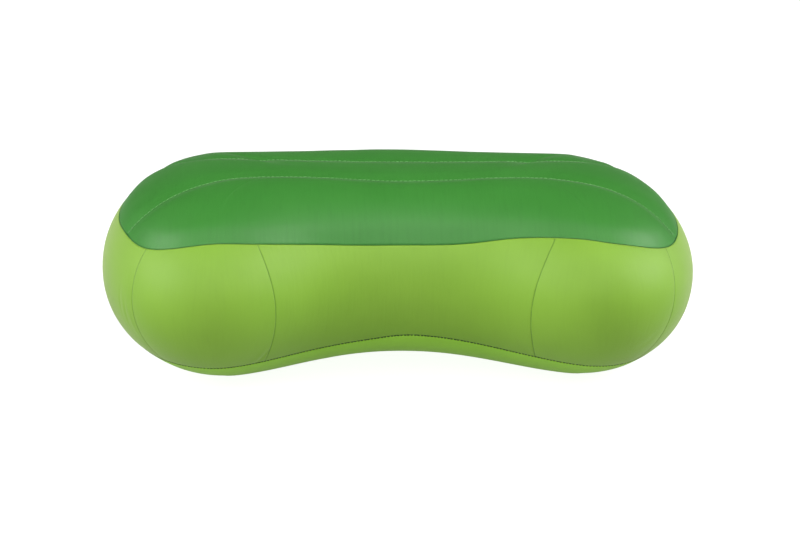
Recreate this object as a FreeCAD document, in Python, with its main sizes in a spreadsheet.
import FreeCAD, Part
import math
import os
import Sketcher
from FreeCAD import Vector, Placement, Rotation

# Inflatable camp pillow: a quilted cover over wadding and a welded bladder, with
# an air valve in the rear wall. X is the length, Z is up, the scalloped front
# edge faces -Y and the origin is the bottom centre of the pillow's box.

doc = FreeCAD.newDocument("CampPillow")

# ---------------------------------------------------------------- dimensions
DIMENSIONS = [
    # overall
    ("pillow_length", 340.0), ("pillow_width", 240.0), ("pillow_height", 108.55),
    # plan outline of the widest line, from the front centre to the rear centre
    ("front_centre_y", -75.3),
    ("front_flank_x", 50.0), ("front_flank_y", -86.3),
    ("front_lobe_x", 100.0), ("front_lobe_y", -115.1),
    ("front_corner_x", 147.0), ("front_corner_y", -93.9),
    ("end_tip_x", 170.0), ("end_tip_y", 22.2),
    ("rear_corner_x", 137.9), ("rear_corner_y", 109.5),
    ("rear_flank_x", 90.0), ("rear_flank_y", 115.9),
    ("rear_centre_y", 122.7),
    # crown line that the top and the bottom run in to
    ("crown_half_length", 78.3), ("crown_line_y", 1.0), ("crown_line_bow", 3.9),
    ("wall_lean", 0.49), ("wall_fullness", 3.33),
    # heights above and below the widest line
    ("crown_rise", 54.8), ("belly_drop", 57.2), ("crown_dip", 2.1),
    ("belly_arch", 9.0), ("dip_reach", 64.6), ("end_fall", 3.3), ("rest_cut", 0.45),
    # low bump on the top: its height, its place and how far it spreads
    ("nape_bump", 1.5), ("nape_y", 62.0), ("nape_reach_x", 45.0), ("nape_reach_y", 30.0),
    # cover and its seams; upright seams lean in stations per share of height
    ("cover_thickness", 0.9), ("seam_gap", 1.0), ("seam_thread_radius", 0.26),
    ("upright_thread_radius", 0.2),
    ("quilt_thread_radius", 0.3), ("quilt_thread_clearance", 0.06),
    ("side_seam_station", 10.25), ("side_seam_lean", 1.0),
    ("end_seam_station", 22.45), ("end_seam_lean", 0.9),
    ("rear_seam_station", 43.5), ("cap_front_corner", 24.0), ("cap_rear_corner", 40.5),
    # wadding and bladder, each as its depth below the cover's outer face
    ("wadding_outer_depth", 1.15), ("wadding_side_depth", 1.35), ("wadding_inner_depth", 4.1),
    ("wadding_gap", 3.0),
    ("film_side_depth", 1.8), ("film_crown_depth", 4.4), ("film_thickness", 0.45),
    ("weld_gap", 0.6), ("baffle_thickness", 0.5), ("baffle_clearance", 0.35),
    ("front_baffle_reach", 95.0), ("rear_baffle_reach", 97.0),
    # valve seat in the rear wall
    ("valve_station", 49.6), ("valve_seat_depth", 3.0),
    ("seat_flat_radius", 25.5), ("seat_blend_radius", 41.0),
    ("cover_hole_radius", 17.2), ("film_hole_radius", 16.8),
    # valve heights are measured outward from this far inside the seat's face
    ("seat_face_height", 12.0),
    ("collar_bore_radius", 14.0), ("collar_outer_radius", 16.0), ("collar_foot", 2.0),
    ("collar_top", 14.5), ("flange_radius", 22.0), ("flange_under", 8.4), ("flange_top", 9.6),
    ("binding_inner_radius", 17.5), ("binding_outer_radius", 21.0),
    ("binding_under", 12.15), ("binding_top", 12.85),
    ("tether_inner_radius", 16.08), ("tether_outer_radius", 18.6),
    ("tether_under", 13.0), ("tether_top", 14.2), ("tether_arm_lap", 1.4),
    ("tether_gap_clearance", 0.15),
    ("plug_axis_x", 21.0), ("plug_axis_height", 15.5), ("plug_ear_radius", 2.2),
    ("plug_pin_radius", 1.1), ("plug_pin_clearance", 0.05),
    ("plug_ear_inside", 4.0), ("plug_ear_outside", 6.0), ("plug_tongue_half", 3.6),
    ("plug_tongue_thickness", 1.0), ("tongue_lap", 1.0),
    ("plug_flange_radius", 17.5), ("plug_flange_under", 15.0), ("plug_flange_top", 16.2),
    ("plug_skirt_top_radius", 13.85), ("plug_skirt_mid_radius", 13.1),
    ("plug_skirt_foot_radius", 12.4), ("plug_skirt_inner_radius", 11.4),
    ("plug_skirt_mid", 8.2), ("plug_skirt_foot", 6.0),
    ("throat_radius", 8.0), ("throat_wall_radius", 9.8), ("throat_foot", 4.0),
    ("plug_recess_top", 13.6),
    ("hub_radius", 3.2), ("hub_bore_radius", 1.6), ("hub_under", 7.0), ("hub_top", 9.5),
    ("hub_overhang", 0.4), ("spoke_width", 1.6), ("spoke_top", 8.6), ("spoke_end_cover", 0.6),
    ("plug_gasket_inner", 14.3), ("plug_gasket_outer", 16.8),
    ("plug_gasket_under", 14.55), ("plug_gasket_top", 14.95),
    ("cap_axis_x", 13.0), ("cap_axis_height", 17.2), ("cap_ear_radius", 1.6),
    ("cap_pin_radius", 0.8), ("cap_pin_clearance", 0.05),
    ("cap_ear_inside", 2.8), ("cap_ear_outside", 4.4), ("cap_tongue_half", 2.4),
    ("cap_tongue_step", 0.05),
    ("cap_radius", 9.8), ("cap_under", 16.65), ("cap_top", 17.75),
    ("cap_skirt_outer", 7.9), ("cap_skirt_foot_outer", 7.6), ("cap_skirt_inner", 6.4),
    ("cap_skirt_foot", 13.6), ("cap_tab_reach", 12.6), ("cap_tab_half", 3.0),
    ("cap_tab_step", 0.25),
    ("cap_gasket_inner", 8.5), ("cap_gasket_outer", 9.6),
    ("cap_gasket_under", 16.25), ("cap_gasket_top", 16.6),
    ("button_stem_radius", 1.55), ("button_head_radius", 4.0),
    ("button_head_under", 12.2), ("button_head_top", 13.4), ("button_foot", 2.4),
    ("clip_radius", 2.5), ("clip_top", 3.05), ("shoulder_radius", 2.4),
    ("shoulder_under", 3.95), ("shoulder_top", 4.6),
    ("disc_radius", 9.5), ("disc_bore_radius", 1.6), ("disc_under", 3.1), ("disc_top", 3.9),
]
sheet = doc.addObject("Spreadsheet::Sheet", "Dimensions")
for row, (name, value) in enumerate(DIMENSIONS, start=1):
    sheet.set("A%d" % row, name)
    sheet.set("B%d" % row, "%g" % value)
    sheet.setAlias("B%d" % row, name)
doc.recompute()

SIZES = {name: float(getattr(sheet, name)) for name, value in DIMENSIONS}


def dim(name):
    return SIZES[name]


# -------------------------------------------------------------- plan outline
# The outline is a closed smooth curve through knots, the +X half mirrored. A
# station is a place on it, 0 at the front centre and growing towards +X.
OUTLINE_KNOTS = [(0.0, dim("front_centre_y"))]
OUTLINE_KNOTS += [(dim(knot + "_x"), dim(knot + "_y")) for knot in (
    "front_flank", "front_lobe", "front_corner", "end_tip", "rear_corner", "rear_flank")]
OUTLINE_KNOTS += [(0.0, dim("rear_centre_y"))]

knot_loop = OUTLINE_KNOTS + [(-x, y) for x, y in OUTLINE_KNOTS[-2:0:-1]]
knot_stations = [0.0]
for a, b in zip(knot_loop, knot_loop[1:] + knot_loop[:1]):
    knot_stations.append(knot_stations[-1] + math.sqrt(math.hypot(b[0] - a[0], b[1] - a[1])))
ROUND = knot_stations[-1]     # station all the way round
REAR = ROUND / 2.0            # station of the rear centre
TIP = knot_stations[4]        # station of the end tip
outline = Part.BSplineCurve()
outline.interpolate(Points=[Vector(x, y, 0) for x, y in knot_loop], PeriodicFlag=True,
                    Parameters=knot_stations)

# The outline is scaled and centred so that the cover fills its box.
samples = [outline.value(ROUND * i / 720.0) for i in range(720)]
xs = [p.x for p in samples]
ys = [p.y for p in samples]
SCALE_X = dim("pillow_length") / (max(xs) - min(xs))
SCALE_Y = dim("pillow_width") / (max(ys) - min(ys))
SHIFT_Y = 0.5 * (max(ys) + min(ys))


def in_box(x, y):
    """Plan position, given in the outline knots' frame, in the pillow's frame."""
    return x * SCALE_X, (y - SHIFT_Y) * SCALE_Y


def edge_at(station):
    """Point and outward normal of the widest line."""
    station = station % ROUND
    point = outline.value(station)
    slope = outline.getD1(station)[1]
    along_x, along_y = slope.x * SCALE_X, slope.y * SCALE_Y
    size = math.hypot(along_x, along_y)
    x, y = in_box(point.x, point.y)
    return x, y, along_y / size, -along_x / size


# ------------------------------------------------------------ pillow surface
# rho is 1 on the widest line and 0 on the crown line; side is 1 for the top
# and -1 for the bottom; inset moves a point in from the side and drop moves it
# in from the crown or the belly.
HALF_LENGTH = 0.5 * dim("pillow_length")
FULL = dim("wall_fullness")


def raw_point(station, rho, side, inset=0.0, drop=0.0, scale=1.0, base=0.0):
    """Point of the pillow with its heights scaled and measured from base."""
    edge_x, edge_y, out_x, out_y = edge_at(station)
    along = max(-1.0, min(1.0, edge_x / HALF_LENGTH))
    edge_x, edge_y = edge_x - out_x * inset, edge_y - out_y * inset
    crown_x = dim("crown_half_length") * along
    crown_y = dim("crown_line_y") - SHIFT_Y + dim("crown_line_bow") * (1.0 - along * along)
    # a quadratic curve in plan leaves the edge square and ends on the crown line
    reach = dim("wall_lean") * math.hypot(edge_x - crown_x, edge_y - crown_y)
    bend_x, bend_y = edge_x - out_x * reach, edge_y - out_y * reach
    q = 1.0 - rho
    x = (1 - q) ** 2 * edge_x + 2 * q * (1 - q) * bend_x + q * q * crown_x
    y = (1 - q) ** 2 * edge_y + 2 * q * (1 - q) * bend_y + q * q * crown_y
    lift = math.sqrt(max(0.0, 1.0 - abs(rho) ** FULL))
    dip = math.exp(-(x / dim("dip_reach")) ** 2)
    fall = dim("end_fall") * (abs(x) / HALF_LENGTH) ** 3
    if side > 0:
        z = (scale * (dim("crown_rise") - dim("crown_dip") * dip - fall) - drop) * lift
        z += dim("nape_bump") * lift * math.exp(
            -(x / dim("nape_reach_x")) ** 2 - ((y - dim("nape_y")) / dim("nape_reach_y")) ** 2)
    else:
        z = -(scale * (dim("belly_drop") - dim("belly_arch") * dip - fall) - drop) * lift
    return Vector(x, y, base + z)


middle = [(ROUND * i / 240.0, j / 24.0) for i in range(240) for j in range(13)]
peak = max(raw_point(station, rho, 1).z for station, rho in middle)
floor = min(raw_point(station, rho, -1).z for station, rho in middle)
SCALE_Z = (dim("pillow_height") + dim("rest_cut")) / (peak - floor)
BELT = -floor * SCALE_Z - dim("rest_cut")      # height of the widest line


def full_point(station, rho, side, inset=0.0, drop=0.0):
    """Point of the pillow at its true height, without the valve seat."""
    return raw_point(station, rho, side, inset, drop, SCALE_Z, BELT)


# The valve's axis leaves the rear wall of the left (-X) lobe, level and square to it.
valve_x, valve_y, valve_out_x, valve_out_y = edge_at(ROUND - dim("valve_station"))
valve_out = Vector(valve_out_x, valve_out_y, 0)
valve_apex = Vector(valve_x, valve_y, BELT)
valve_frame = Placement(
    valve_apex - valve_out * (dim("valve_seat_depth") + dim("seat_face_height")),
    Rotation(Vector(0, 0, 1).cross(valve_out), Vector(0, 0, 1), valve_out, "ZXY"))
SEAT_SEARCH_DEPTH = 40.0      # points deeper than this stay as they are


def seated(point, inset):
    """Round the valve the wall is drawn flat and blends out into the pillow."""
    offset = point - valve_apex
    depth = offset.dot(valve_out)
    if depth > -SEAT_SEARCH_DEPTH:
        radius = (offset - valve_out * depth).Length
        flat, blend = dim("seat_flat_radius"), dim("seat_blend_radius")
        if radius < blend:
            weight = 1.0 if radius <= flat else 1.0 - (radius - flat) / (blend - flat)
            weight = weight * weight * (3.0 - 2.0 * weight)
            point = point + valve_out * ((-dim("valve_seat_depth") - inset - depth) * weight)
    return point


# -------------------------------------------------------------- seam heights
def seam_height(knots):
    """Smooth function through (station, value) knots, even about both centres."""
    spread = [(-station, value) for station, value in knots[:0:-1]] + knots
    spread += [(2 * REAR - station, value) for station, value in knots[-2:-5:-1]]
    curve = Part.BSplineCurve()
    curve.interpolate(Points=[Vector(station, value, 0) for station, value in spread],
                      Parameters=[station for station, value in spread])
    return lambda station: curve.value(abs((station + REAR) % ROUND - REAR)).y


# Columns: station, seam height as a share of the local rise or drop.
top_seam = seam_height([
    (0.0, .494), (3.5, .500), (7.0, .553), (10.5, .622), (14.0, .643), (18.0, .613),
    (22.0, .536), (25.0, .512), (28.5, .540), (TIP, .585), (42.5, .640), (49.4, .645),
    (REAR, .640)])
low_seam = seam_height([
    (0.0, .584), (3.5, .622), (7.0, .656), (10.5, .676), (14.0, .688), (18.0, .695),
    (24.0, .690), (TIP, .680), (42.5, .670), (49.4, .662), (REAR, .655)])


def rho_of(share):
    return max(0.0, 1.0 - share * share) ** (1.0 / FULL)


def wall_point(station, share, inset=0.0, drop=0.0):
    """share runs from -1 on the belly line through 0 on the widest line to 1."""
    side = 1 if share >= 0 else -1
    return seated(full_point(station, rho_of(share), side, inset, drop), inset)


def station_step(station, gap):
    """Change of station that moves gap millimetres along the widest line."""
    a, b = edge_at(station - 0.05), edge_at(station + 0.05)
    return gap * 0.1 / math.hypot(a[0] - b[0], a[1] - b[1])


def share_step(station, share, gap):
    """Change of share that moves gap millimetres up the wall."""
    a, b = wall_point(station, share - 0.004), wall_point(station, share + 0.004)
    return gap * 0.008 / (a - b).Length


# ------------------------------------------------------- solids from surfaces
SEWING_TOLERANCE = 1e-4


def spaced(first, last, count):
    return [first + (last - first) * i / (count - 1.0) for i in range(count)]


def even_steps(lines):
    """Parameters for points, from the mean of their chord lengths."""
    total = [0.0]
    for i in range(1, len(lines[0])):
        total.append(total[-1] + sum((line[i] - line[i - 1]).Length for line in lines))
    return [length / total[-1] for length in total]


def curve_through(points, parameters):
    curve = Part.BSplineCurve()
    curve.interpolate(Points=points, Parameters=parameters)
    return curve


def surface(grid):
    """Surface through a grid of points: curves along each line of the grid,
    then curves across their poles."""
    line_steps = even_steps(grid)
    cross_steps = even_steps([list(column) for column in zip(*grid)])
    along = [curve_through(line, line_steps) for line in grid]
    pole_lines = [curve.getPoles() for curve in along]
    across = [curve_through(list(poles), cross_steps) for poles in zip(*pole_lines)]
    cross, line = across[0], along[0]
    result = Part.BSplineSurface()
    result.buildFromPolesMultsKnots(
        [[curve.getPoles()[i] for curve in across] for i in range(cross.NbPoles)],
        cross.getMultiplicities(), line.getMultiplicities(),
        cross.getKnots(), line.getKnots(), False, False, cross.Degree, line.Degree)
    return result


def border(patch):
    u0, u1, v0, v1 = patch.bounds()
    return [patch.uIso(u0).toShape(), patch.uIso(u1).toShape(),
            patch.vIso(v0).toShape(), patch.vIso(v1).toShape()]


def sheet_solid(outer_grid, inner_grid):
    """Solid between two grids of points, closed by ruled faces at its four edges."""
    outer, inner = surface(outer_grid), surface(inner_grid)
    faces = [outer.toShape(), inner.toShape()]
    faces += [Part.makeRuledSurface(a, b) for a, b in zip(border(outer), border(inner))]
    shell = Part.Compound(faces)
    shell.sewShape(SEWING_TOLERANCE)
    solid = Part.makeSolid(Part.Shell(shell.Faces))
    if solid.Volume < 0:
        solid.reverse()
    return solid


def wall_line(station_at, rows, gap, inset, top_drop, low_drop):
    """Points up the wall between the two seams; station_at gives the station
    for each share."""
    high, low = top_seam(station_at(0)), -low_seam(station_at(0))
    for _ in range(6):        # a leaning line meets the seams at other stations
        high, low = top_seam(station_at(high)), -low_seam(station_at(low))
    high -= share_step(station_at(high), high, gap / 2.0)
    low += share_step(station_at(low), low, gap / 2.0)
    return [wall_point(station_at(share), share, inset, top_drop if share >= 0 else low_drop)
            for share in spaced(low, high, rows)]


START_RHOS = (0.12, 0.3, 0.5, 0.7, 0.85, 0.95)
start_tables = {}


def settle(x, y, station, rho, layer):
    """Newton steps in station and rho towards a plan position."""
    for _ in range(16):
        point = full_point(station, rho, *layer)
        dx, dy = x - point.x, y - point.y
        if abs(dx) + abs(dy) < 1e-6:
            break
        a = full_point(station + 1e-3, rho, *layer)
        b = full_point(station, rho + 1e-4, *layer)
        ax, ay = (a.x - point.x) / 1e-3, (a.y - point.y) / 1e-3
        bx, by = (b.x - point.x) / 1e-4, (b.y - point.y) / 1e-4
        det = ax * by - ay * bx
        if abs(det) < 1e-6:
            break
        station_change, rho_change = (dx * by - dy * bx) / det, (ax * dy - ay * dx) / det
        station += max(-2.0, min(2.0, station_change))
        rho = max(0.0, min(0.998, rho + max(-0.2, min(0.2, rho_change))))
    return full_point(station, rho, *layer)


def point_over(x, y, side, inset=0.0, drop=0.0):
    """Crown or belly point over a plan position, searched from the nearest
    entries of a table."""
    layer = (side, inset, drop)
    if layer not in start_tables:
        start_tables[layer] = [
            (full_point(ROUND * i / 72.0, rho, *layer), ROUND * i / 72.0, rho)
            for i in range(72) for rho in START_RHOS]
    nearest = sorted(start_tables[layer],
                     key=lambda entry: (entry[0].x - x) ** 2 + (entry[0].y - y) ** 2)
    best, miss = None, 1e9
    for _, station, rho in nearest[:8]:
        point = settle(x, y, station, rho, layer)
        off = abs(x - point.x) + abs(y - point.y)
        if off < miss:
            best, miss = point, off
        if miss < 1e-4:
            break
    if miss > 0.5:
        raise RuntimeError("no surface over (%.1f, %.1f), %.2f off" % (x, y, miss))
    return Vector(x, y, best.z)


CAP_COLUMNS = 49
CAP_ROWS = 31


def cap_grid(side, gap, inset, drop):
    """Points of a top or bottom sheet: the rim is blended inward in plan, then
    each point is lifted to the surface."""
    seam = top_seam if side > 0 else low_seam
    front_corner, rear_corner = dim("cap_front_corner"), dim("cap_rear_corner")

    def rim(first, last, count):
        points = []
        for station in spaced(first, last, count):
            share = seam(station)
            share += share_step(station, share * side, gap / 2.0)
            points.append(full_point(station, rho_of(share), side, inset, drop))
        return points

    front = rim(-front_corner, front_corner, CAP_COLUMNS)
    rear = rim(ROUND - rear_corner, rear_corner, CAP_COLUMNS)
    left = rim(-front_corner, -rear_corner, CAP_ROWS)
    right = rim(front_corner, rear_corner, CAP_ROWS)

    def grid_point(i, j):
        if j == 0:
            return front[i]
        if j == CAP_ROWS - 1:
            return rear[i]
        if i == 0:
            return left[j]
        if i == CAP_COLUMNS - 1:
            return right[j]
        u = i / (CAP_COLUMNS - 1.0)
        v = j / (CAP_ROWS - 1.0)
        plan = (front[i] * (1 - v) + rear[i] * v + left[j] * (1 - u) + right[j] * u
                - front[0] * ((1 - u) * (1 - v)) - front[-1] * (u * (1 - v))
                - rear[0] * ((1 - u) * v) - rear[-1] * (u * v))
        return point_over(plan.x, plan.y, side, inset, drop)

    return [[seated(grid_point(i, j), inset) for j in range(CAP_ROWS)]
            for i in range(CAP_COLUMNS)]


def cap_solid(side, outer, inner, gap):
    """Whole top or bottom sheet inside its seam, one patch whose corners lie on
    the pillow's four rounded corners; outer and inner are (inset, drop)."""
    return sheet_solid(cap_grid(side, gap, *outer), cap_grid(side, gap, *inner))


def tube(points, radius):
    """Round thread through points."""
    curve = Part.BSplineCurve()
    curve.interpolate(Points=points)
    first = curve.FirstParameter
    ring = Part.Wire([Part.makeCircle(radius, curve.value(first), curve.tangent(first)[0])])
    solid = Part.Wire([curve.toShape()]).makePipeShell([ring], True, True)
    want = curve.length() * math.pi * radius * radius
    if not solid.isValid() or abs(solid.Volume - want) > 0.02 * want:
        raise RuntimeError("thread volume %.2f, expected %.2f" % (solid.Volume, want))
    return solid


def drill(radius):
    """Cylinder along the valve's axis that cuts a wall."""
    tool = Part.makeCylinder(radius, 40.0)
    tool.Placement = valve_frame
    return tool


parts = []


def add_part(name, shape):
    feature = doc.addObject("Part::Feature", name)
    feature.Label = name
    feature.Shape = shape
    parts.append(feature)


# -------------------------------------------------------------- cover panels
GAP = dim("seam_gap")
THICKNESS = dim("cover_thickness")
MID = 0.5 * THICKNESS         # seam threads lie half way through the fabric


def upright_seam(sign, station, lean=0.0, turn=0.0):
    """Station of an upright seam for each share, -1 for left and 1 for right."""
    return lambda share: turn + sign * (station + lean * share)


side_left, side_right = [
    upright_seam(sign, dim("side_seam_station"), dim("side_seam_lean")) for sign in (-1, 1)]
end_left, end_right = [
    upright_seam(sign, dim("end_seam_station"), dim("end_seam_lean")) for sign in (-1, 1)]
rear_left, rear_right = [upright_seam(sign, dim("rear_seam_station")) for sign in (-1, 1)]
rear_left_on = upright_seam(-1, dim("rear_seam_station"), turn=ROUND)   # a full turn on

# Columns: name, seams it runs between, columns and rows of its grid.
WALL_PANELS = [
    ("cover_front_centre_panel", side_left, side_right, 27, 13),
    ("cover_front_left_panel", end_left, side_left, 17, 13),
    ("cover_front_right_panel", side_right, end_right, 17, 13),
    ("cover_left_end_panel", rear_left, end_left, 33, 13),
    ("cover_right_end_panel", end_right, rear_right, 33, 13),
    ("cover_rear_panel", rear_right, rear_left_on, 71, 19),
]


def wall_panel(start, end, columns, rows):
    """Strip of wall between two upright seams, half a gap short of each."""
    start_shift = station_step(start(0), GAP / 2.0)
    end_shift = station_step(end(0), GAP / 2.0)

    def station_on(fraction):
        def station_at(share):
            first, last = start(share) + start_shift, end(share) - end_shift
            return first + (last - first) * fraction
        return station_at

    def grid(depth):
        return [wall_line(station_on(i / (columns - 1.0)), rows, GAP, depth, depth, depth)
                for i in range(columns)]

    return sheet_solid(grid(0.0), grid(THICKNESS))


def cover_cap(side):
    return cap_solid(side, (0.0, 0.0), (THICKNESS, THICKNESS), GAP)


def bottom_panel():
    """The belly rests on two flat patches, one under each lobe."""
    ground = Part.makeBox(500, 400, 20, Vector(-250, -200, -20))
    return cover_cap(-1).cut(ground).Solids[0]


for name, start, end, columns, rows in WALL_PANELS:
    panel = wall_panel(start, end, columns, rows)
    if name == "cover_rear_panel":
        panel = panel.cut(drill(dim("cover_hole_radius"))).Solids[0]
    add_part(name, panel)
add_part("cover_top_panel", cover_cap(1))
add_part("cover_bottom_panel", bottom_panel())

# ------------------------------------------------------------------- threads
LOOP_LENGTHS = 8              # separate lengths of thread round a seam
LOOP_STEP = 0.9               # stations between a thread's points
LOOP_END_GAP = 0.1            # each end stops this far short
UPRIGHT_END_SHARE = 0.02      # upright threads stop this share short


def loop_thread(seam, sign):
    """Thread all round the top (sign 1) or bottom (sign -1) seam."""
    solids = []
    for k in range(LOOP_LENGTHS):
        first = ROUND * (k + 0.5) / LOOP_LENGTHS
        last = ROUND * (k + 1.5) / LOOP_LENGTHS
        first += station_step(first, LOOP_END_GAP)
        last -= station_step(last, LOOP_END_GAP)
        stations = spaced(first, last, int((last - first) / LOOP_STEP) + 2)
        solids.append(tube([wall_point(station, sign * seam(station), MID, MID)
                            for station in stations], dim("seam_thread_radius")))
    return Part.Compound(solids)


def upright_thread(line):
    high = top_seam(line(0)) - UPRIGHT_END_SHARE
    low = -low_seam(line(0)) + UPRIGHT_END_SHARE
    return tube([wall_point(line(share), share, MID, MID) for share in spaced(low, high, 13)],
                dim("upright_thread_radius"))


# Plan (x, y) of the two quilting lines, +X half, in the outline knots' frame.
FRONT_LINE = [
    (0, -20.5), (17, -20.1), (29, -19.5), (40, -18.9), (53, -18.2), (64, -18.3),
    (75, -19.0), (85, -20.9), (95, -24.0), (106, -27.8), (117, -33.0),
    (127, -39.3), (136, -44.5), (142, -48.4), (147, -51.6)]
REAR_LINE = [
    (0, 27.5), (22, 27.2), (45, 27.0), (62, 27.3), (75, 28.2), (86, 29.6), (97, 32.0),
    (108, 35.3), (118, 39.6), (128, 45.0), (136, 50.2), (143, 55.6), (147, 59.0)]


def both_halves(line):
    return [(-x, y) for x, y in line[:0:-1]] + line


def quilt_thread(line):
    """Thread lying just above the top panel."""
    depth = -dim("quilt_thread_radius") - dim("quilt_thread_clearance")
    points = [point_over(*in_box(x, y), 1, depth, depth) for x, y in both_halves(line)]
    return tube(points, dim("quilt_thread_radius"))


add_part("top_seam_thread", loop_thread(top_seam, 1))
add_part("bottom_seam_thread", loop_thread(low_seam, -1))
add_part("wall_seam_threads", Part.Compound([
    upright_thread(line)
    for line in (side_left, side_right, end_left, end_right, rear_left, rear_right)]))
add_part("front_quilt_thread", quilt_thread(FRONT_LINE))
add_part("rear_quilt_thread", quilt_thread(REAR_LINE))

# ------------------------------------------------------- wadding and bladder
FILM = dim("film_thickness")
SIDE_DEPTH = dim("film_side_depth")
CROWN_DEPTH = dim("film_crown_depth")
WELD = dim("weld_gap")
TOP_FILM = (SIDE_DEPTH, CROWN_DEPTH)
TOP_FILM_INNER = (SIDE_DEPTH + FILM, CROWN_DEPTH + FILM)
LOW_FILM = (SIDE_DEPTH, SIDE_DEPTH)
LOW_FILM_INNER = (SIDE_DEPTH + FILM, SIDE_DEPTH + FILM)


def film_wall():
    """Bladder wall all round, open by a weld gap at the rear centre. It drops by
    the crown depth above the widest line, so that it meets the top sheet."""
    join = station_step(REAR, WELD / 2.0)

    def grid(extra):
        return [wall_line(lambda share: station, 19, WELD,
                          SIDE_DEPTH + extra, CROWN_DEPTH + extra, SIDE_DEPTH + extra)
                for station in spaced(-REAR + join, REAR - join, 215)]

    wall = sheet_solid(grid(0.0), grid(FILM))
    return wall.cut(drill(dim("film_hole_radius"))).Solids[0]


def baffle(line, reach):
    """Upright web between the top and bottom sheets along a quilting line."""
    path = Part.BSplineCurve()
    path.interpolate(Points=[Vector(x, y, 0) for x, y in both_halves(line)])
    clearance = dim("baffle_clearance")
    half = 0.5 * dim("baffle_thickness")
    front, rear = [], []
    for line_x in spaced(-reach, reach, 21):
        # step along the tangent until the path point has this x
        point = path.value(path.parameter(Vector(line_x, 0, 0)))
        for _ in range(12):
            tangent = path.tangent(path.parameter(point))[0]
            ahead = tangent * ((line_x - point.x) / tangent.x)
            point = path.value(path.parameter(point + ahead))
        x, y = in_box(line_x, point.y)
        high = point_over(x, y, 1, *TOP_FILM_INNER).z - clearance
        low = point_over(x, y, -1, *LOW_FILM_INNER).z + clearance
        front.append([Vector(x, y - half, z) for z in spaced(low, high, 5)])
        rear.append([Vector(x, y + half, z) for z in spaced(low, high, 5)])
    return sheet_solid(front, rear)


add_part("top_wadding", cap_solid(
    1, (dim("wadding_outer_depth"), dim("wadding_outer_depth")),
    (dim("wadding_side_depth"), dim("wadding_inner_depth")), dim("wadding_gap")))
add_part("bladder_top_sheet", cap_solid(1, TOP_FILM, TOP_FILM_INNER, WELD))
add_part("bladder_bottom_sheet", cap_solid(-1, LOW_FILM, LOW_FILM_INNER, WELD))
add_part("bladder_side_wall", film_wall())
add_part("front_baffle", baffle(FRONT_LINE, dim("front_baffle_reach")))
add_part("rear_baffle", baffle(REAR_LINE, dim("rear_baffle_reach")))


# ------------------------------------------------------------- valve helpers
# Sizes are given as text, such as "cap_radius - tongue_lap": aliases and numbers
# joined by spaced plus and minus signs.
def value_of(text):
    total, sign = 0.0, 1.0
    for token in text.split():
        if token in ("+", "-"):
            sign = 1.0 if token == "+" else -1.0
        else:
            total += sign * (dim(token) if token[0].isalpha() else float(token))
    return total


def expression(text):
    return " ".join("Dimensions." + token if token[0].isalpha() else token
                    for token in text.split())


def constrain(sketch, text, *arguments):
    """Adds a dimension with the text's value and binds it to the sheet."""
    index = sketch.addConstraint(Sketcher.Constraint(*arguments, value_of(text)))
    sketch.setExpression("Constraints[%d]" % index, expression(text))


def fix_x(sketch, geometry, point, text, mirrored=False):
    """Sets a point's distance from the vertical axis, to -X when mirrored."""
    if abs(value_of(text)) < 1e-9:
        sketch.addConstraint(Sketcher.Constraint("PointOnObject", geometry, point, -2))
    elif mirrored:
        constrain(sketch, text, "DistanceX", geometry, point, -1, 1)
    else:
        constrain(sketch, text, "DistanceX", -1, 1, geometry, point)


def fix_y(sketch, geometry, point, text):
    constrain(sketch, text, "DistanceY", -1, 1, geometry, point)


def new_body(name):
    body = doc.addObject("PartDesign::Body", name)
    body.Label = name
    return body


def sketch_on(body, name, role):
    sketch = body.newObject("Sketcher::SketchObject", name)
    plane = [f for f in body.Origin.OriginFeatures if f.Role == role][0]
    sketch.AttachmentSupport = [(plane, "")]
    sketch.MapMode = "FlatFace"
    return sketch


def closed_loop(sketch, points):
    count = len(points)
    for i in range(count):
        (x0, y0), (x1, y1) = points[i], points[(i + 1) % count]
        sketch.addGeometry(Part.LineSegment(Vector(x0, y0, 0), Vector(x1, y1, 0)), False)
    for i in range(count):
        sketch.addConstraint(Sketcher.Constraint("Coincident", i, 2, (i + 1) % count, 1))


def turned(body, name, corners):
    """Revolved profile; corners are (radius, height)."""
    sketch = sketch_on(body, name + "_profile", "XZ_Plane")
    closed_loop(sketch, [(value_of(x), value_of(y)) for x, y in corners])
    for i, (x, y) in enumerate(corners):
        fix_x(sketch, i, 1, x)
        fix_y(sketch, i, 1, y)
    revolution = body.newObject("PartDesign::Revolution", name)
    revolution.Profile = sketch
    revolution.ReferenceAxis = (sketch, ["V_Axis"])
    revolution.Angle = 360.0


def both_ways(kind, body, name, sketch, half_length):
    feature = body.newObject(kind, name)
    feature.Profile = sketch
    feature.SideType = "Symmetric"
    feature.setExpression("Length", "2 * (" + expression(half_length) + ")")
    return feature


def extrude(body, name, sketch, half_length, cut):
    """Pads or pockets a sketch by half_length each way."""
    if not cut:
        both_ways("PartDesign::Pad", body, name, sketch, half_length)
        return
    doc.recompute()
    before = body.Shape.Volume
    pocket = both_ways("PartDesign::Pocket", body, name, sketch, half_length)
    doc.recompute()
    if not pocket.Shape.Volume < before - 1e-3:
        raise RuntimeError(name + " cut nothing")


def rod(body, name, x, y, radius, half_length, mirrored=False, cut=False, profile=None):
    """Round bar or bore parallel to the body's Y axis."""
    sketch = sketch_on(body, profile or name + "_profile", "XZ_Plane")
    centre_x = -value_of(x) if mirrored else value_of(x)
    sketch.addGeometry(
        Part.Circle(Vector(centre_x, value_of(y), 0), Vector(0, 0, 1), value_of(radius)), False)
    fix_x(sketch, 0, 3, x, mirrored)
    fix_y(sketch, 0, 3, y)
    constrain(sketch, radius, "Radius", 0)
    extrude(body, name, sketch, half_length, cut)


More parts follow.
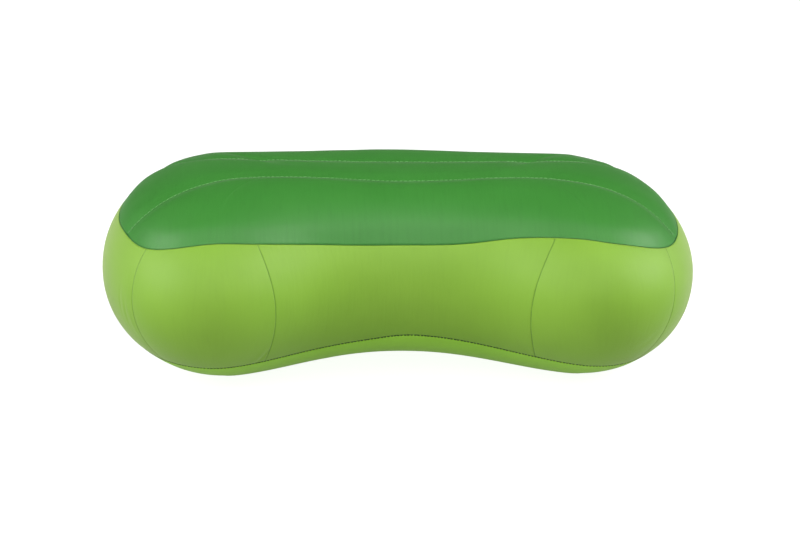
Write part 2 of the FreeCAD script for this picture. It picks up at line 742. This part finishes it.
def block(body, name, x0, x1, y0, y1, half_length, mirrored=False, cut=False):
    """Rectangular bar or slot parallel to the body's Y axis."""
    sketch = sketch_on(body, name + "_profile", "XZ_Plane")
    sign = -1.0 if mirrored else 1.0
    left, right = value_of(x0) * sign, value_of(x1) * sign
    low, high = value_of(y0), value_of(y1)
    closed_loop(sketch, [(left, low), (right, low), (right, high), (left, high)])
    for direction, side in (("Horizontal", 0), ("Horizontal", 2),
                            ("Vertical", 1), ("Vertical", 3)):
        sketch.addConstraint(Sketcher.Constraint(direction, side))
    fix_x(sketch, 0, 1, x0, mirrored)
    fix_x(sketch, 0, 2, x1, mirrored)
    fix_y(sketch, 0, 1, y0)
    fix_y(sketch, 2, 1, y1)
    extrude(body, name, sketch, half_length, cut)


def spoke_bar(body, name, role, width, y0, y1, half_length):
    """Bar across the valve's axis, centred on it."""
    sketch = sketch_on(body, name + "_profile", role)
    half, low, high = value_of(width) / 2.0, value_of(y0), value_of(y1)
    closed_loop(sketch, [(-half, low), (half, low), (half, high), (-half, high)])
    sketch.addConstraint(Sketcher.Constraint("Horizontal", 2))
    sketch.addConstraint(Sketcher.Constraint("Vertical", 1))
    sketch.addConstraint(Sketcher.Constraint("Symmetric", 0, 1, 0, 2, -2))
    constrain(sketch, width, "DistanceX", 0, 1, 0, 2)
    fix_y(sketch, 0, 1, y0)
    fix_y(sketch, 2, 1, y1)
    extrude(body, name, sketch, half_length, False)


def axis_bore(body, name, radius, half_length):
    """Bore along the valve's axis."""
    sketch = sketch_on(body, name + "_profile", "XY_Plane")
    sketch.addGeometry(Part.Circle(Vector(0, 0, 0), Vector(0, 0, 1), value_of(radius)), False)
    sketch.addConstraint(Sketcher.Constraint("Coincident", 0, 3, -1, 1))
    constrain(sketch, radius, "Radius", 0)
    extrude(body, name, sketch, half_length, True)


# -------------------------------------------------------------- valve pieces
# Each is drawn with the valve's axis along Z, pointing out of the pillow.
def ring_corners(inner, outer, under, top):
    return [(inner, under), (outer, under), (outer, top), (inner, top)]


def simple_ring(name, inner, outer, under, top):
    body = new_body(name)
    turned(body, name + "_ring", ring_corners(inner, outer, under, top))
    return body


def valve_flange():
    body = new_body("valve_flange")
    turned(body, "flange_turning", [
        ("collar_bore_radius", "collar_foot"), ("collar_outer_radius", "collar_foot"),
        ("collar_outer_radius", "flange_under"), ("flange_radius", "flange_under"),
        ("flange_radius", "flange_top"), ("collar_outer_radius", "flange_top"),
        ("collar_outer_radius", "collar_top"), ("collar_bore_radius", "collar_top")])
    return body


def valve_tether_ring():
    """Ring round the collar with two ears that hold the plug's pin."""
    body = new_body("valve_tether_ring")
    turned(body, "tether_turning", ring_corners(
        "tether_inner_radius", "tether_outer_radius", "tether_under", "tether_top"))
    block(body, "tether_arm", "tether_outer_radius - tether_arm_lap", "plug_axis_x + 1.4",
          "tether_under", "tether_top", "plug_ear_outside")
    rod(body, "tether_ears", "plug_axis_x", "plug_axis_height", "plug_ear_radius",
        "plug_ear_outside", profile="tether_ear_profile")
    # the gap and the bore run on past the ears so that they cut right through
    block(body, "tether_gap", "tether_outer_radius + tether_gap_clearance", "plug_axis_x + 4",
          "tether_under - 0.5", "plug_axis_height + 3", "plug_ear_inside", cut=True)
    rod(body, "tether_bore", "plug_axis_x", "plug_axis_height",
        "plug_pin_radius + plug_pin_clearance", "plug_ear_outside + 1", cut=True)
    return body


def deflate_plug():
    """Plug for the collar, hinged at +X, with the cap's ears at -X."""
    body = new_body("deflate_plug")
    turned(body, "plug_turning", [
        ("throat_radius", "throat_foot"), ("throat_wall_radius", "throat_foot"),
        ("throat_wall_radius", "plug_recess_top"),
        ("plug_skirt_inner_radius", "plug_recess_top"),
        ("plug_skirt_inner_radius", "plug_skirt_foot"),
        ("plug_skirt_foot_radius", "plug_skirt_foot"),
        ("plug_skirt_mid_radius", "plug_skirt_mid"),
        ("plug_skirt_top_radius", "plug_flange_under"),
        ("plug_flange_radius", "plug_flange_under"), ("plug_flange_radius", "plug_flange_top"),
        ("throat_radius", "plug_flange_top")])
    # two crossed bars carry the hub that guides the button's stem
    for name, role in (("spider_bar", "YZ_Plane"), ("spider_cross_bar", "XZ_Plane")):
        spoke_bar(body, name, role, "spoke_width", "hub_under", "spoke_top",
                  "throat_wall_radius - spoke_end_cover")
    turned(body, "hub", ring_corners("0", "hub_radius", "hub_under - hub_overhang", "hub_top"))
    axis_bore(body, "hub_bore", "hub_bore_radius", "collar_top")
    block(body, "plug_tongue", "plug_flange_radius - tongue_lap", "plug_axis_x",
          "plug_flange_under", "plug_flange_under + plug_tongue_thickness", "plug_tongue_half")
    rod(body, "plug_pin", "plug_axis_x", "plug_axis_height", "plug_pin_radius",
        "plug_ear_outside")
    rod(body, "cap_ears", "cap_axis_x", "cap_axis_height", "cap_ear_radius",
        "cap_ear_outside", mirrored=True, profile="cap_ear_profile")
    block(body, "cap_ear_gap", "cap_axis_x - 2", "cap_axis_x + 2", "plug_flange_top",
          "cap_axis_height + 2", "cap_ear_inside", mirrored=True, cut=True)
    rod(body, "cap_ear_bore", "cap_axis_x", "cap_axis_height",
        "cap_pin_radius + cap_pin_clearance", "cap_ear_outside + 1", mirrored=True, cut=True)
    return body


def inflate_cap():
    """Cap over the plug's throat, hinged at -X, with a finger tab at +X."""
    body = new_body("inflate_cap")
    turned(body, "cap_turning", [
        ("0", "cap_under"), ("cap_skirt_inner", "cap_under"),
        ("cap_skirt_inner", "cap_skirt_foot"), ("cap_skirt_foot_outer", "cap_skirt_foot"),
        ("cap_skirt_outer", "cap_under"), ("cap_radius", "cap_under"),
        ("cap_radius", "cap_top"), ("0", "cap_top")])
    block(body, "cap_tab", "cap_radius - tongue_lap", "cap_tab_reach",
          "cap_under + cap_tab_step", "cap_top", "cap_tab_half")
    block(body, "cap_tongue", "cap_radius - tongue_lap", "cap_axis_x",
          "cap_under + cap_tongue_step", "cap_top - cap_tongue_step", "cap_tongue_half",
          mirrored=True)
    rod(body, "cap_pin", "cap_axis_x", "cap_axis_height", "cap_pin_radius",
        "cap_ear_outside", mirrored=True)
    return body


def release_button():
    """Stem with a head outside, and a shoulder and a clip either side of the disc."""
    body = new_body("release_button")
    turned(body, "button_turning", [
        ("0", "button_foot"), ("clip_radius", "button_foot"), ("clip_radius", "clip_top"),
        ("button_stem_radius", "clip_top"), ("button_stem_radius", "shoulder_under"),
        ("shoulder_radius", "shoulder_under"), ("shoulder_radius", "shoulder_top"),
        ("button_stem_radius", "shoulder_top"), ("button_stem_radius", "button_head_under"),
        ("button_head_radius", "button_head_under"), ("button_head_radius", "button_head_top"),
        ("0", "button_head_top")])
    return body


valve_bodies = [
    valve_flange(),
    simple_ring("valve_opening_binding", "binding_inner_radius", "binding_outer_radius",
                "binding_under", "binding_top"),
    valve_tether_ring(),
    deflate_plug(),
    simple_ring("plug_gasket", "plug_gasket_inner", "plug_gasket_outer",
                "plug_gasket_under", "plug_gasket_top"),
    inflate_cap(),
    simple_ring("cap_gasket", "cap_gasket_inner", "cap_gasket_outer",
                "cap_gasket_under", "cap_gasket_top"),
    release_button(),
    simple_ring("one_way_disc", "disc_bore_radius", "disc_radius", "disc_under", "disc_top"),
]
doc.recompute()
for body in valve_bodies:
    body.Placement = valve_frame
    parts.append(body)
doc.recompute()

# --------------------------------------------------------- checks and export
for item in doc.Objects:
    bad = [flag for flag in item.State if flag in ("Invalid", "Error")]
    if bad:
        raise RuntimeError("%s is %s" % (item.Name, bad))
for part in parts:
    if part.Shape.isNull() or not part.Shape.isValid() or not part.Shape.Solids:
        raise RuntimeError("bad shape: " + part.Label)

os.makedirs("parts", exist_ok=True)
for part in parts:
    part.Shape.exportStep("parts/%s.step" % part.Label)
